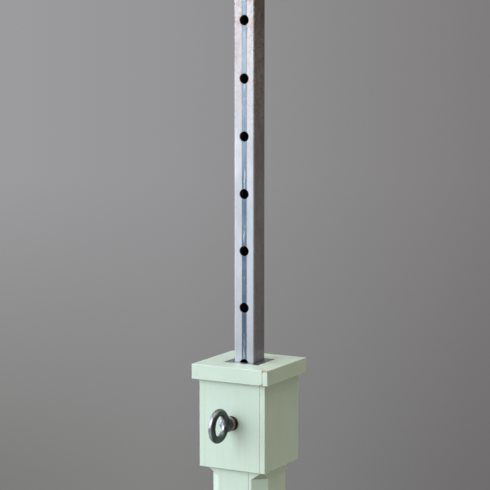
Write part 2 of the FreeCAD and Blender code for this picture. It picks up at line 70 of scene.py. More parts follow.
class Graph:
    """A material under construction. Lengths inside it are millimetres in the model's frame."""

    def __init__(self, name):
        self.material = bpy.data.materials.new(name)
        self.material.use_nodes = True
        self.tree = self.material.node_tree
        self.shader = self.tree.nodes["Principled BSDF"]
        where = self.node("ShaderNodeTexCoord").outputs["Object"]
        self.place = self.vector("SCALE", where, scale=1 / MM)
        self.x, self.y, self.z = self.split(self.place)
        normal = self.node("ShaderNodeNewGeometry").outputs["Normal"]
        self.normal = self.node("ShaderNodeVectorTransform", vector_type="NORMAL", convert_from="WORLD",
                                convert_to="OBJECT")
        self.link(normal, self.normal.inputs[0])
        self.normal_x, self.normal_y, self.normal_z = self.split(self.normal.outputs[0])

    def node(self, kind, **settings):
        made = self.tree.nodes.new(kind)
        for name, value in settings.items():
            setattr(made, name, value)
        return made

    def link(self, value, socket):
        """Feeds a socket from another socket, or sets its constant."""
        if isinstance(value, bpy.types.NodeSocket):
            self.tree.links.new(value, socket)
        else:
            socket.default_value = value

    def math(self, operation, *values):
        made = self.node("ShaderNodeMath", operation=operation)
        for socket, value in zip(made.inputs, values):
            self.link(value, socket)
        return made.outputs[0]

    def vector(self, operation, *values, scale=None):
        made = self.node("ShaderNodeVectorMath", operation=operation)
        for socket, value in zip(made.inputs, values):
            self.link(value, socket)
        if scale is not None:
            self.link(scale, made.inputs["Scale"])
        return made.outputs["Value" if operation == "DISTANCE" else "Vector"]

    def split(self, vector):
        made = self.node("ShaderNodeSeparateXYZ")
        self.link(vector, made.inputs[0])
        return made.outputs

    def step(self, value, low, high, start=0.0, end=1.0):
        """Rises smoothly from start to end as value goes from low to high."""
        made = self.node("ShaderNodeMapRange", interpolation_type="SMOOTHSTEP")
        for name, number in (("Value", value), ("From Min", low), ("From Max", high), ("To Min", start),
                             ("To Max", end)):
            self.link(number, made.inputs[name])
        return made.outputs["Result"]

    def noise(self, size, detail=3.0, roughness=0.5, stretch=(1, 1, 1), distortion=0.0):
        """Noise with features about size millimetres across, longer along the axes with a larger stretch."""
        scaled = self.vector("MULTIPLY", self.place, tuple(1 / (size * s) for s in stretch))
        made = self.node("ShaderNodeTexNoise")
        self.link(scaled, made.inputs["Vector"])
        self.link(1.0, made.inputs["Scale"])
        self.link(detail, made.inputs["Detail"])
        self.link(roughness, made.inputs["Roughness"])
        self.link(distortion, made.inputs["Distortion"])
        return made.outputs["Fac"]

    def cells(self, size):
        """A random colour for each of the cells, which are about size millimetres across."""
        scaled = self.vector("SCALE", self.place, scale=1 / size)
        made = self.node("ShaderNodeTexVoronoi")
        self.link(scaled, made.inputs["Vector"])
        self.link(1.0, made.inputs["Scale"])
        return made.outputs["Color"]

    def mix(self, factor, first, second, blend="MIX"):
        """Mixes two colours."""
        made = self.node("ShaderNodeMix", data_type="RGBA", blend_type=blend)
        self.link(factor, made.inputs[0])
        self.link(first, made.inputs[6])
        self.link(second, made.inputs[7])
        return made.outputs[2]

    def blend(self, factor, first, second):
        """Mixes two numbers."""
        made = self.node("ShaderNodeMix", data_type="FLOAT")
        self.link(factor, made.inputs[0])
        self.link(first, made.inputs[2])
        self.link(second, made.inputs[3])
        return made.outputs[0]

    def tint(self, colour, amount):
        """Multiplies a colour by a number."""
        if not isinstance(colour, bpy.types.NodeSocket):
            colour = colour[:3]
        return self.vector("SCALE", colour, scale=amount)

    def bump(self, height, distance):
        """Height is 0 to 1 and stands for distance millimetres."""
        made = self.node("ShaderNodeBump")
        self.link(height, made.inputs["Height"])
        self.link(distance * MM, made.inputs["Distance"])
        self.link(made.outputs["Normal"], self.shader.inputs["Normal"])

    def finish(self, **inputs):
        """Feeds the shader's inputs, with underscores in place of the spaces in their names."""
        for name, value in inputs.items():
            self.link(value, self.shader.inputs[name.replace("_", " ")])
        return self.material


ZINC = srgb(197, 201, 210)
ZINC_DULL = srgb(184, 189, 197)
STAIN_PALE = srgb(196, 172, 166)
BROWN_STAIN_AND_REFLECTION = srgb(136, 126, 130)
RUST = srgb(124, 92, 72)
SEAM_BLUE = srgb(87, 107, 131)
SEAM_PALE = srgb(110, 132, 153)
SEAM_GLINT = srgb(190, 200, 208)
SEAM_LINE = srgb(96, 84, 80)
TUBE_INSIDE_SHADE = srgb(22, 21, 20)
PAINT = srgb(203, 221, 208)
PAINT_DARK = srgb(192, 210, 196)
PAINT_PALE = srgb(212, 229, 218)
PAINT_UNDERSIDE_SHADE = srgb(128, 134, 106)
UNDERCOAT = srgb(200, 172, 146)
BARE_WOOD = srgb(138, 96, 66)
SEAM_DIRT = srgb(96, 84, 64)
SAWN_PALE = srgb(196, 160, 118)
SAWN_DARK = srgb(150, 108, 70)
SIDE_SHADE_TINT = srgb(236, 229, 249)
WARM_TINT = srgb(255, 247, 244)
SPANGLE_DARK = srgb(150, 156, 162)
SPANGLE_PALE = srgb(192, 197, 202)
SPANGLE_BLOOM = srgb(172, 174, 176)
STEEL_RUBBED_AND_HIGHLIT = srgb(164, 168, 182)
STEEL_SCALE_AND_SHADE = srgb(80, 86, 88)
STEEL_TOP_REFLECTION = srgb(132, 141, 138)
STEEL_UNDER_SHADE = srgb(54, 58, 55)
STEEL_FRECKLE = srgb(88, 76, 70)
GUIDE_DARK = srgb(150, 150, 158)
GUIDE_PALE = srgb(178, 178, 188)
GUIDE_SCRATCH = srgb(200, 202, 212)
PLASTIC = srgb(38, 38, 40)
PLASTIC_SCUFF = srgb(70, 70, 72)

# How much longer than wide the brush strokes and the grain of the wood are.
BRUSHED = 26.0
SAWN = 20.0


def painted_wood(name, low, high, grain, seams=None, marks=()):
    """Satin paint brushed along the grain of one board, worn through to the wood along its arrises.

    low and high are the board's corners in millimetres, and grain is its long axis (0, 1 or 2). seams is
    how dark the joints are at the board's left and right ends. Each mark is a centre, a radius and a
    strength.
    """
    g = Graph(name)
    near = []
    for axis, value in enumerate((g.x, g.y, g.z)):
        from_low = g.math("SUBTRACT", value, low[axis])
        from_high = g.math("SUBTRACT", high[axis], value)
        near.append(g.math("MINIMUM", from_low, from_high))
    smallest = g.math("MINIMUM", g.math("MINIMUM", near[0], near[1]), near[2])
    largest = g.math("MAXIMUM", g.math("MAXIMUM", near[0], near[1]), near[2])
    total = g.math("ADD", g.math("ADD", near[0], near[1]), near[2])
    # The middle one of the three distances says how far the nearest arris is.
    edge = g.math("SUBTRACT", g.math("SUBTRACT", total, smallest), largest)

    stretch = [1.0, 1.0, 1.0]
    stretch[grain] = BRUSHED
    strokes = g.noise(1.3, 4.0, 0.62, stretch)
    figure = g.noise(4.5, 3.0, 0.55, stretch, 0.6)
    if grain == 2:
        # The tops of the upright boards are brushed along the longer side of each end.
        across = [1.0, 1.0, 1.0]
        across[0 if high[0] - low[0] > high[1] - low[1] else 1] = BRUSHED
        is_top = g.step(g.normal_z, 0.7, 0.9)
        strokes = g.blend(is_top, strokes, g.noise(1.3, 4.0, 0.62, across))
        figure = g.blend(is_top, figure, g.noise(4.5, 3.0, 0.55, across, 0.6))
    cloud = g.noise(30.0, 3.0)
    speckle = g.noise(1.6, 5.0, 0.7)
    patch = g.noise(9.0, 3.0, 0.6)

    # Paint: slightly uneven, darker where the figure of the wood shows through it.
    colour = g.mix(g.step(cloud, 0.3, 0.7, 0.2, 0.55), PAINT, PAINT_PALE)
    colour = g.mix(g.math("MULTIPLY", g.step(figure, 0.42, 0.7), 0.16), colour, PAINT_DARK)
    colour = g.mix(g.math("MULTIPLY", g.step(strokes, 0.5, 0.75), 0.16), colour, PAINT_DARK)

    # Painted shade: what faces down is darkened.
    colour = g.mix(g.step(g.normal_z, -0.35, -0.6, 0.0, 0.85), colour, PAINT_UNDERSIDE_SHADE)

    # Wear: a thin broken line along the arrises, and the stronger marks.
    wear = g.math("ADD", g.math("MULTIPLY", speckle, 0.45), g.math("MULTIPLY", patch, 0.75))
    wear = g.math("SUBTRACT", wear, g.math("MULTIPLY", g.math("MAXIMUM", edge, 0.0), 0.16))
    wear = g.math("SUBTRACT", wear, 0.72)
    for centre, radius, strength in marks:
        distance = g.vector("DISTANCE", g.place, tuple(centre))
        boost = g.math("MULTIPLY", g.step(distance, 0.0, radius, 1.0, 0.0), strength)
        wear = g.math("ADD", wear, boost)
    thin = g.step(wear, 0.0, 0.07)
    bare = g.step(wear, 0.10, 0.19)
    colour = g.mix(g.math("MULTIPLY", thin, 0.7), colour, UNDERCOAT)
    colour = g.mix(g.math("MULTIPLY", bare, 0.8), colour, g.mix(strokes, BARE_WOOD, UNDERCOAT))

    height = g.math("ADD", g.math("MULTIPLY", strokes, 0.35), g.math("MULTIPLY", figure, 0.3))
    height = g.math("SUBTRACT", height, g.math("MULTIPLY", thin, 0.5))
    if seams is not None:
        # Dirt in the joints at both ends, ragged by the speckle.
        gap = g.math("ADD", near[0], g.math("MULTIPLY", g.math("SUBTRACT", speckle, 0.5), 1.2))
        darkness = g.step(g.x, -5.0, 5.0, seams[0], seams[1])
        dirt = g.math("MULTIPLY", g.step(gap, 0.12, 0.7, 1.0, 0.0), darkness)
        colour = g.mix(dirt, colour, SEAM_DIRT)
        height = g.math("SUBTRACT", height, dirt)
    g.bump(height, 0.05)
    gloss = g.blend(thin, g.step(strokes, 0.3, 0.8, 0.42, 0.48), 0.7)
    return g.finish(Base_Color=colour, Roughness=gloss, Coat_Weight=0.1, Coat_Roughness=0.25)


def bare_wood(name):
    """Sawn wood with an upright grain."""
    g = Graph(name)
    stretch = (1.0, 1.0, SAWN)
    rings = g.noise(2.4, 4.0, 0.6, stretch, 1.2)
    fibre = g.noise(0.5, 3.0, 0.6, stretch)
    colour = g.mix(g.step(rings, 0.35, 0.65), SAWN_PALE, SAWN_DARK)
    g.bump(fibre, 0.15)
    return g.finish(Base_Color=colour, Roughness=g.step(fibre, 0.2, 0.8, 0.6, 0.85))


# Millimetres from the tube's axis: the seam's middle, and where the freckles are thickest.
SEAM_MIDDLE = 0.2
FRECKLED_AT = 9.6


def galvanised_tube(name, stripe, stain_from):
    """Pale drawn zinc, with a blue scraped weld seam down the middle of the front; stripe is its half width.

    A brownish stain comes in above the height stain_from, in flecks all round and as a tone on the sides,
    where the tone is partly painted reflection. The zinc is darker near the head as painted shade, the sides
    are tinted mauve and darkened as painted shade, and the top of the front is warmer.
    """
    g = Graph(name)
    drawn = g.noise(0.8, 4.0, 0.6, (1, 1, 70))
    bloom = g.noise(16.0, 4.0, 0.6, (1, 1, 2.5))
    fleck = g.noise(1.8, 5.0, 0.8, (1, 1, 1.3))
    height = g.step(g.z, stain_from, stain_from + 190.0)
    front = g.step(g.normal_y, -0.9, -0.7, 1.0, 0.0)
    side = g.step(g.math("ABSOLUTE", g.normal_x), 0.7, 0.9)

    zinc = g.mix(g.step(bloom, 0.35, 0.7), ZINC, ZINC_DULL)
    # Painted shade: the zinc is darker just above the head.
    zinc = g.tint(zinc, g.step(g.z, stain_from - 150.0, stain_from - 60.0, 0.84, 1.0))
    zinc = g.mix(g.math("MULTIPLY", g.step(drawn, 0.45, 0.8), 0.35), zinc, ZINC_DULL)
    flecked = g.math("MULTIPLY", g.step(fleck, 0.46, 0.60), g.math("MULTIPLY", height, 0.9))
    colour = g.mix(flecked, zinc, STAIN_PALE)
    # A brown tone on the sides, partly stain and partly painted reflection; then the sides are darkened mauve
    # as painted shade.
    tone = g.math("MULTIPLY", g.step(bloom, 0.3, 0.75, 0.15, 1.0), g.blend(height, 0.3, 0.85))
    colour = g.mix(g.math("MULTIPLY", side, tone), colour, BROWN_STAIN_AND_REFLECTION)
    colour = g.mix(side, colour, SIDE_SHADE_TINT, "MULTIPLY")
    warmth = g.step(g.z, stain_from - 40.0, stain_from + 120.0)
    colour = g.mix(g.math("MULTIPLY", warmth, front), colour, WARM_TINT, "MULTIPLY")

    # Brown freckles on the sides and along the front's corners, more of them where the stain is strong.
    corner = g.math("ABSOLUTE", g.math("SUBTRACT", g.math("ABSOLUTE", g.x), FRECKLED_AT))
    freckle = g.math("MULTIPLY", g.step(corner, 0.3, 1.0, 1.0, 0.0), g.step(fleck, 0.48, 0.58))
    freckle = g.math("MULTIPLY", freckle, g.blend(height, 0.2, 1.0))
    colour = g.mix(freckle, colour, RUST)

    # The seam, on the front wall only, with a brown line at each edge and wandering bright runs down it that
    # are painted glints.
    across = g.math("SUBTRACT", g.x, SEAM_MIDDLE)
    wander = g.math("MULTIPLY", g.math("SUBTRACT", g.noise(34.0, 2.0), 0.5), 0.3)
    across = g.math("ADD", across, wander)
    off_centre = g.math("ABSOLUTE", across)
    seam = g.math("MULTIPLY", g.step(off_centre, stripe - 0.2, stripe + 0.15, 1.0, 0.0), front)
    line = g.step(g.math("ABSOLUTE", g.math("SUBTRACT", off_centre, stripe)), 0.1, 0.5, 1.0, 0.0)
    line = g.math("MULTIPLY", line, front)
    drift = g.math("MULTIPLY", g.math("SUBTRACT", g.noise(7.0, 2.0), 0.5), 3.4)
    painted_glint = g.step(g.math("ABSOLUTE", g.math("SUBTRACT", across, drift)), 0.1, 0.8, 1.0, 0.0)
    painted_glint = g.math("MULTIPLY", painted_glint, g.step(g.noise(13.0, 3.0, 0.6, (1, 1, 1.6)), 0.50, 0.62))
    tone = g.math("ADD", g.math("MULTIPLY", g.noise(26.0, 2.0), 0.7), g.math("MULTIPLY", drawn, 0.3))
    seam_colour = g.mix(g.step(tone, 0.38, 0.62), SEAM_BLUE, SEAM_PALE)
    seam_colour = g.mix(g.math("MULTIPLY", painted_glint, 0.85), seam_colour, SEAM_GLINT)
    # The seam is darker towards the head, as painted shade, and lighter up the tube.
    seam_colour = g.tint(seam_colour, g.step(g.z, stain_from - 150.0, stain_from + 200.0, 0.82, 1.15))
    seam_colour = g.mix(g.math("MULTIPLY", warmth, 0.3), seam_colour, ZINC)
    colour = g.mix(seam, colour, seam_colour)
    dotted = g.math("MULTIPLY", line, g.step(g.noise(2.4, 4.0, 0.7), 0.35, 0.6, 0.3, 0.8))
    colour = g.mix(dotted, colour, SEAM_LINE)

    # The inside of the tube is painted nearly black, as painted shade.
    off_axis = g.math("MAXIMUM", g.math("ABSOLUTE", g.x), g.math("ABSOLUTE", g.y))
    inside = g.step(off_axis, 8.3, 8.7, 0.9, 0.0)
    colour = g.mix(inside, colour, TUBE_INSIDE_SHADE)

    rough = g.blend(seam, g.step(bloom, 0.3, 0.7, 0.42, 0.52), 0.38)
    rough = g.blend(g.math("MAXIMUM", flecked, freckle), rough, 0.7)
    relief = g.math("SUBTRACT", g.math("MULTIPLY", drawn, 0.3), g.math("MULTIPLY", line, 0.7))
    relief = g.math("ADD", relief, g.math("MULTIPLY", painted_glint, g.math("MULTIPLY", seam, 0.5)))
    g.bump(relief, 0.05)
    metal = g.blend(g.math("MAXIMUM", flecked, freckle), 0.9, 0.4)
    return g.finish(Base_Color=colour, Roughness=rough, Metallic=metal)


def galvanised_plate(name):
    """Hot-dip zinc, with spangle, dull bloom and fine drips."""
    g = Graph(name)
    spangle = g.cells(9.0)
    bloom = g.noise(30.0, 4.0, 0.6)
    drip = g.noise(1.4, 5.0, 0.7)
    colour = g.mix(g.math("MULTIPLY", spangle, 0.55), SPANGLE_DARK, SPANGLE_PALE)
    colour = g.mix(g.step(bloom, 0.45, 0.7, 0.0, 0.45), colour, SPANGLE_BLOOM)
    rough = g.math("ADD", g.step(spangle, 0.1, 0.9, 0.34, 0.5), g.math("MULTIPLY", drip, 0.12))
    g.bump(g.math("ADD", g.math("MULTIPLY", drip, 0.5), g.math("MULTIPLY", bloom, 0.5)), 0.12)
    return g.finish(Base_Color=colour, Roughness=rough, Metallic=0.8)


def worn_metal(name, main, second, rust, metallic, rough, rust_share):
    """Metal with cloudy tone, fine grain, and more rust in patches the larger rust_share is."""
    g = Graph(name)
    cloud = g.noise(7.0, 4.0, 0.6)
    fine = g.noise(0.9, 5.0, 0.7)
    colour = g.mix(g.step(cloud, 0.35, 0.65), main, second)
    patch = g.math("ADD", g.math("MULTIPLY", cloud, 0.5), g.math("MULTIPLY", fine, 0.5))
    rusted = g.step(patch, 0.72 - 0.45 * rust_share, 0.80 - 0.45 * rust_share)
    colour = g.mix(rusted, colour, g.mix(fine, rust, g.tint(rust, 0.5)))
    g.bump(g.math("ADD", g.math("MULTIPLY", fine, 0.6), g.math("MULTIPLY", rusted, 0.4)), 0.1)
    gloss = g.blend(rusted, g.step(fine, 0.3, 0.7, rough, rough + 0.16), 0.85)
    return g.finish(Base_Color=colour, Roughness=gloss, Metallic=g.blend(rusted, metallic, 0.1))


# The boss's rim in millimetres, where its painted highlight goes: its axis below the head's top, its distance
# from the axis, and its Y.
RIM_DROP = 49.1
RIM_REACH = (6.4, 6.9)
RIM_FRONT = (-43.6, -42.6)


def forged_steel(name):
    """Forged steel, dark with scale and painted shade, with painted highlights on its left flank and the
    boss's rim.
    """
    g = Graph(name)
    cloud = g.noise(5.5, 3.0, 0.55)
    scale = g.noise(1.5, 5.0, 0.7)
    pits = g.noise(0.5, 3.0, 0.6)
    mottle = g.math("ADD", g.math("MULTIPLY", cloud, 0.4), g.math("MULTIPLY", scale, 0.6))
    # Painted shade: the right flank and what faces straight up or down are darkened along with the scale; the
    # left flank is a painted highlight.
    flank = g.step(g.normal_x, 0.05, 0.5)
    above = g.step(g.math("ABSOLUTE", g.normal_z), 0.75, 1.0)
    scale_and_shade = g.math("ADD", g.math("MAXIMUM", flank, above), g.math("SUBTRACT", mottle, 0.5))
    rise = g.math("SUBTRACT", g.z, HEAD_TOP - RIM_DROP)
    reach = g.math("SQRT", g.math("ADD", g.math("MULTIPLY", g.x, g.x), g.math("MULTIPLY", rise, rise)))
    # A painted highlight round the boss's rim lightens it.
    rim = g.math("MULTIPLY", g.step(reach, *RIM_REACH), g.step(g.y, *RIM_FRONT))
    scale_and_shade = g.math("SUBTRACT", scale_and_shade, g.math("MULTIPLY", rim, 0.5))
    colour = g.mix(g.step(scale_and_shade, 0.3, 0.75), STEEL_RUBBED_AND_HIGHLIT, STEEL_SCALE_AND_SHADE)
    # A painted greenish reflection lightens what faces up, more on the right flank, and painted shade darkens
    # what faces down.
    top = g.math("MULTIPLY", g.step(g.normal_z, 0.3, 0.8, 0.0, 0.8), g.blend(flank, 0.45, 1.0))
    colour = g.mix(top, colour, STEEL_TOP_REFLECTION)
    colour = g.mix(g.step(g.normal_z, -0.3, -0.8, 0.0, 0.8), colour, STEEL_UNDER_SHADE)
    freckle = g.math("ADD", g.math("MULTIPLY", scale, 0.6), g.math("MULTIPLY", pits, 0.4))
    freckle = g.step(freckle, 0.66, 0.72)
    colour = g.mix(g.math("MULTIPLY", freckle, 0.6), colour, STEEL_FRECKLE)
    g.bump(g.math("ADD", g.math("MULTIPLY", scale, 0.7), g.math("MULTIPLY", pits, 0.3)), 0.05)
    gloss = g.blend(freckle, g.step(scale_and_shade, 0.2, 0.9, 0.27, 0.40), 0.6)
    return g.finish(Base_Color=colour, Roughness=gloss, Metallic=g.blend(freckle, 1.0, 0.5))


def rubbed_steel(name):
    """The guide plate: dull rolled steel with fine bright scratches along X."""
    g = Graph(name)
    cloud = g.noise(8.0, 4.0, 0.6)
    scratch = g.noise(0.35, 3.0, 0.6, (18, 1, 1))
    colour = g.mix(g.step(cloud, 0.35, 0.65), GUIDE_DARK, GUIDE_PALE)
    colour = g.mix(g.step(scratch, 0.62, 0.8, 0.0, 0.5), colour, GUIDE_SCRATCH)
    g.bump(scratch, 0.04)
    return g.finish(Base_Color=colour, Roughness=g.step(cloud, 0.3, 0.7, 0.26, 0.42), Metallic=0.9)


def moulded_plastic(name):
    """Black plastic, scuffed up and down."""
    g = Graph(name)
    fine = g.noise(0.4, 4.0, 0.6)
    scuff = g.noise(1.0, 3.0, 0.6, (1, 1, 12))
    colour = g.mix(g.step(scuff, 0.55, 0.8), PLASTIC, PLASTIC_SCUFF)
    g.bump(fine, 0.05)
    return g.finish(Base_Color=colour, Roughness=g.step(fine, 0.3, 0.7, 0.45, 0.6))


# --------------------------------------------------------------------------------------------------
# Meshes
# --------------------------------------------------------------------------------------------------

WOOD = BOARDS + PANELS + STRIPS
WOOD_BOXES = {name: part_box(name) for name in WOOD}


def inside_other_wood(point, own):
    """True where a point lies inside the box of any wooden piece but its own."""
    for name, (low, high) in WOOD_BOXES.items():
        if name != own and all(low[i] < point[i] < high[i] for i in range(3)):
            return True
    return False


def is_open_arris(edge, own):
    """True where both faces of an edge are bare; false where one lies against a neighbouring board."""
    reach = 0.4 * MM
    middle = (edge.verts[0].co + edge.verts[1].co) / 2
    first, second = (face.normal for face in edge.link_faces)
    probes = (middle + reach * first - reach * second, middle + reach * second - reach * first)
    return not any(inside_other_wood(probe, own) for probe in probes)


def clean_copy(node):
    """The CAD node's surface, with the triangles that it was stored as merged into flat faces."""
    source = NODES[node].data
    mesh = bmesh.new()
    points = [mesh.verts.new(v.co) for v in source.vertices]
    for polygon in source.polygons:
        corners = [points[i] for i in polygon.vertices]
        if mesh.faces.get(corners) is None:
            mesh.faces.new(corners)
    bmesh.ops.remove_doubles(mesh, verts=mesh.verts, dist=0.002 * MM)
    bmesh.ops.dissolve_limit(mesh, angle_limit=math.radians(1), verts=mesh.verts, edges=mesh.edges)
    mesh.normal_update()
    return mesh


def soften(mesh, edges, radius, segments=3):
    """Rounds edges to a radius."""
    if edges:
        bmesh.ops.bevel(mesh, geom=edges, offset=radius, offset_type="OFFSET", segments=segments,
                        profile=0.5, affect="EDGES", clamp_overlap=True)
        mesh.normal_update()


def folds(mesh, least=30):
    """The edges where two faces meet at more than least degrees."""
    return [e for e in mesh.edges if len(e.link_faces) == 2 and e.calc_face_angle() > math.radians(least)]


def add_piece(name, mesh, body, material, stands_for, smooth_under=50):
    """Makes a visible piece that rides a body and stands for some CAD nodes."""
    data = bpy.data.meshes.new(name)
    mesh.to_mesh(data)
    mesh.free()
    piece = bpy.data.objects.new(name, data)
    bpy.context.scene.collection.objects.link(piece)
    data.materials.append(material)
    data.polygons.foreach_set("use_smooth", [True] * len(data.polygons))
    data.set_sharp_from_angle(angle=math.radians(smooth_under))
    weighted = piece.modifiers.new("Weighted normals", "WEIGHTED_NORMAL")
    weighted.keep_sharp = True
    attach(piece, body)
    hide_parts(*stands_for)


def softened_node(node, name, body, material, radius, segments=3, least=30):
    """A piece in a CAD node's place, with the node's sharp edges rounded."""
    mesh = clean_copy(node)
    soften(mesh, folds(mesh, least), radius, segments)
    add_piece(name, mesh, body, material, [node])


# --------------------------------------------------------------------------------------------------
# Wooden pieces
# --------------------------------------------------------------------------------------------------

# Radii of the open edges, and of those at the joints on the left, which are filled, and on the right.
ARRIS = 0.6 * MM
FILLED_SEAM = 0.06 * MM
OPEN_SEAM = 0.24 * MM
# How dark the joints are at the left and right ends of the front and back pieces.
STRIP_SEAMS = (0.06, 0.65)
BOARD_SEAMS = (0.16, 0.65)
HEAD_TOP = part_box("collar_front_strip")[1].z / MM
COLLAR_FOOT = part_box("collar_front_strip")[0].z / MM
STRIP_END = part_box("collar_front_strip")[1].x / MM
COLLAR_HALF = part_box("collar_right_strip")[1].x / MM
HEAD_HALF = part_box("head_right_panel")[1].x / MM
PANEL_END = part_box("head_front_panel")[1].x / MM

# Worn spots round the collar's front right corner, and fainter ones on its front and left edges and at
# the head's right joint. Each is a centre, a radius and a strength.
SPOTS = [
    ((STRIP_END + 0.5, -COLLAR_HALF, HEAD_TOP), 4.4, 0.42),
    ((STRIP_END - 1.5, -COLLAR_HALF, COLLAR_FOOT), 4.6, 0.46),
    ((COLLAR_HALF - 1.5, -COLLAR_HALF, HEAD_TOP), 5.0, 0.28),
    ((-15, -COLLAR_HALF, HEAD_TOP), 10.0, 0.2),
    ((-COLLAR_HALF, 4, HEAD_TOP), 8.0, 0.12),
    ((PANEL_END + 1, -HEAD_HALF, COLLAR_FOOT), 4.5, 0.2),
]


def add_wooden_piece(node):
    """One board, panel or strip, with its own paint, rounded arrises and fine gaps at its joints."""
    low, high = WOOD_BOXES[node]
    spans = [high[i] - low[i] for i in range(3)]
    grain = spans.index(max(spans))
    if "front" in node or "back" in node:
        seams = STRIP_SEAMS if node in STRIPS else BOARD_SEAMS
    else:
        seams = None
    corners = [v / MM for v in low], [v / MM for v in high]
    marks = SPOTS if node not in BOARDS else ()
    material = painted_wood(f"paint_{node}", *corners, grain, seams, marks)
    mesh = clean_copy(node)
    arrises = [edge for edge in folds(mesh) if is_open_arris(edge, node)]
    soften(mesh, arrises, ARRIS)
    joints = folds(mesh, 60)
    soften(mesh, [edge for edge in joints if edge.verts[0].co.x < 0], FILLED_SEAM, 2)
    joints = folds(mesh, 80)
    soften(mesh, [edge for edge in joints if edge.verts[0].co.x > 0], OPEN_SEAM, 2)
    add_piece(f"painted_{node}", mesh, "post", material, [node])


for wooden_node in WOOD:
    add_wooden_piece(wooden_node)

# --------------------------------------------------------------------------------------------------
# Ring bolt, built in millimetres along +Y from the point where its axis meets the head's face
# --------------------------------------------------------------------------------------------------

LEAN = math.radians(4)
ROLL = math.radians(1.5)
FACE = 32.5
BOLT_DROP = 49.8
BOLT_SEAT = (0, -FACE, HEAD_TOP - BOLT_DROP)
# Where a closed end is drawn in to, in place of a point.
NEARLY_POINTED = 0.02

# Reaches are distances in front of the tube's axis. The ring's radius is that of its wire's middle.
RING_REACH, RING_RADIUS, RING_WIRE = 56.0, 11.9, 3.2
RING_STEPS, WIRE_STEPS, BOSS_STEPS = 144, 40, 72
# Reach and radius, down the flare, round the rim and along the boss.
BOSS = (
    (46.9, 0.0), (46.9, 2.2), (45.7, 3.1), (44.6, 4.1), (43.6, 5.2),
    (42.9, 6.3), (42.5, 6.8), (42.1, 7.15), (41.6, 7.2), (40.8, 7.0),
    (40.1, 6.9), (39.7, 6.7), (39.6, 6.4), (39.6, 0.0),
)
# The forging is fused on a fine grid, smoothed, and dented in two sizes, each a depth and a breadth.
FUSE_GRID, RELAX_SHARE, RELAX_ROUNDS = 0.24, 0.5, 5
DENTS = ((0.10, 4.0), (0.035, 1.1))

NECK_FRONT, NECK_BACK, NECK_RADIUS = 39.8, 38.05, 3.3
THREAD_FRONT, THREAD_BACK, THREAD_PITCH = 38.0, 15.3, 1.25
THREAD_CREST, THREAD_ROOT = 3.98, 3.38
# Shares of the pitch: from the crest's middle to where its flank meets the root, and the flank's width.
FLANK_FOOT, FLANK_WIDTH = 0.44, 0.34
SHANK_STEPS, ROWS_PER_PITCH = 48, 10
TIP_BACK, TIP_RADIUS = 10.3, 2.75
# Reach and radius, from the thread's end round the point's rounded edge.
TIP = (
    (THREAD_BACK, TIP_RADIUS),
    (TIP_BACK + 0.6, TIP_RADIUS),
    (TIP_BACK + 0.15, TIP_RADIUS - 0.4),
    (TIP_BACK, TIP_RADIUS - 0.8),
    (TIP_BACK, NEARLY_POINTED),
)


def add_rings(mesh, rings):
    """Skins a closed solid over a list of closed loops of points, with flat ends."""
    loops = [[mesh.verts.new(point) for point in ring] for ring in rings]
    for first, second in zip(loops, loops[1:]):
        for i in range(len(first)):
            j = (i + 1) % len(first)
            mesh.faces.new((first[i], first[j], second[j], second[i]))
    mesh.faces.new(loops[0][::-1])
    mesh.faces.new(loops[-1])


def join_loops(mesh, loops):
    """Skins a tube that closes on itself over a list of closed loops of vertices."""
    for i, loop in enumerate(loops):
        after = loops[(i + 1) % len(loops)]
        for j in range(len(loop)):
            k = (j + 1) % len(loop)
            mesh.faces.new((loop[j], loop[k], after[k], after[j]))


def circle(reach, radius, count):
    """Points round the bolt's axis."""
    turns = [math.tau * i / count for i in range(count)]
    return [(radius * math.sin(a), FACE - reach, radius * math.cos(a)) for a in turns]


def forged_head():
    """The ring and the flared boss, fused and then smoothed, so that they flow into each other."""
    mesh = bmesh.new()
    add_rings(mesh, [circle(reach, max(radius, NEARLY_POINTED), BOSS_STEPS) for reach, radius in BOSS])
    spin = Matrix.Rotation(ROLL, 3, "Y")
    loops = []
    for i in range(RING_STEPS):
        around = math.tau * i / RING_STEPS
        out = Vector((0, math.cos(around), math.sin(around)))
        centre = Vector((0, FACE - RING_REACH, 0)) + out * RING_RADIUS
        loop = []
        for j in range(WIRE_STEPS):
            about = math.tau * j / WIRE_STEPS
            point = centre + RING_WIRE * (math.cos(about) * out + math.sin(about) * Vector((1, 0, 0)))
            loop.append(mesh.verts.new(spin @ point))
        loops.append(loop)
    join_loops(mesh, loops)
    bmesh.ops.recalc_face_normals(mesh, faces=mesh.faces)
    data = bpy.data.meshes.new("forging_blank")
    mesh.to_mesh(data)
    mesh.free()
    blank = bpy.data.objects.new("forging_blank", data)
    bpy.context.scene.collection.objects.link(blank)
    fuse = blank.modifiers.new("Fuse", "REMESH")
    fuse.mode = "VOXEL"
    fuse.voxel_size = FUSE_GRID
    relax = blank.modifiers.new("Relax", "SMOOTH")
    relax.factor = RELAX_SHARE
    relax.iterations = RELAX_ROUNDS
    fused = bmesh.new()
    fused.from_object(blank, bpy.context.evaluated_depsgraph_get())
    bpy.data.objects.remove(blank)
    fused.normal_update()
    for vert in fused.verts:
        dent = sum(depth * noise.noise(vert.co / breadth) for depth, breadth in DENTS)
        vert.co += vert.normal * dent
    return fused


def thread_radius(y, turn):
    """The helix: its crest moves one pitch along +Y for each right-handed turn about +Y.

    It runs out at the front over one pitch, and is cut to a cone at the back.
    """
    phase = (y / THREAD_PITCH - turn) % 1.0
    rise = min(1.0, max(0.0, (FLANK_FOOT - abs(phase - 0.5)) / FLANK_WIDTH))
    run_out = min(1.0, max(0.0, (THREAD_FRONT - (FACE - y)) / THREAD_PITCH))
    lead_in = THREAD_ROOT + max(0.0, (FACE - y) - THREAD_BACK)
    return min(THREAD_ROOT + (THREAD_CREST - THREAD_ROOT) * rise * run_out, lead_in)


